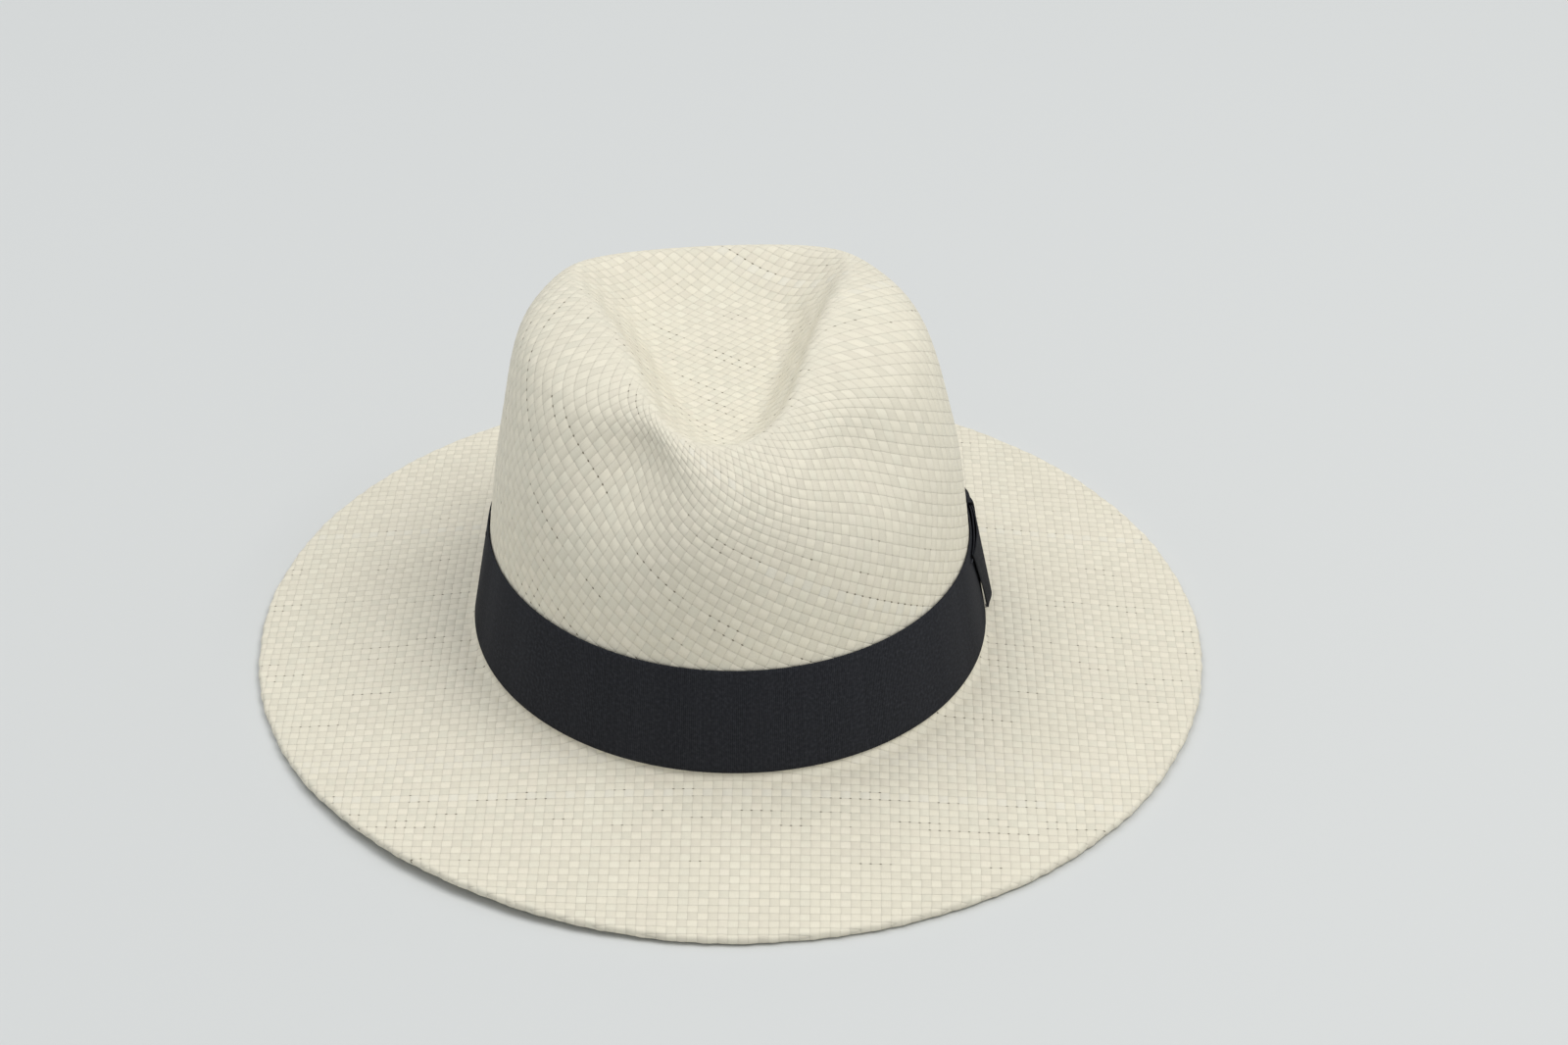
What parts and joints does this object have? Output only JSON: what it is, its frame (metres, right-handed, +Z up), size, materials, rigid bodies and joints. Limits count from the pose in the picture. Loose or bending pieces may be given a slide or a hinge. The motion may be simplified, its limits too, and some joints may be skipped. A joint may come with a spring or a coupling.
{
  "type": "panama hat",
  "caption": "Woven straw hat with a pinched teardrop crown, wide flat brim, dark grosgrain band, flat side bow, sweatband and a flip-up size label.",
  "frame": {"origin": "middle of the hat's outline, on the surface that the brim rests on", "axes": "+Z up, -Y towards the front of the hat, +X towards the wearer's left, where the bow is"},
  "size_m": [0.333, 0.36, 0.123],
  "materials": {
    "straw": "plain-woven flat paper straw, cream with pale green and pinkish strands, low sheen",
    "ribbon": "navy-black grosgrain, fine upright ribs, soft sheen",
    "navy_thread": "navy-black sewing thread",
    "cream_thread": "cream sewing thread",
    "wire": "thin spring wire",
    "sweat_cloth": "cream twill sweatband",
    "label_tape": "blank white satin tape"
  },
  "bodies": {
    "hat": {"crown": "straw", "brim": "straw", "brim_wire": "wire", "crown_seam_thread": "cream_thread", "sweatband_seam_thread": "cream_thread", "hatband": "ribbon", "sweatband": "sweat_cloth", "bow_loops": "ribbon", "bow_knot": "ribbon", "bow_tack_front_upper": "navy_thread", "bow_tack_front_lower": "navy_thread", "bow_tack_rear_upper": "navy_thread", "bow_tack_rear_lower": "navy_thread", "hatband_tack_rear": "navy_thread", "hatband_tack_right": "navy_thread", "sweatband_join_thread": "cream_thread", "size_label_sewn_edge": "label_tape", "size_label_stitch": "cream_thread"},
    "label_flap": {"size_label_flap": "label_tape"}
  },
  "joints": [
    {"name": "size_label_flip", "type": "hinge", "parent": "hat", "child": "label_flap", "pos_m": [0, 0.0934, 0.0379], "axis": [-1, 0, 0], "range_deg": [-6, 110]}
  ]
}
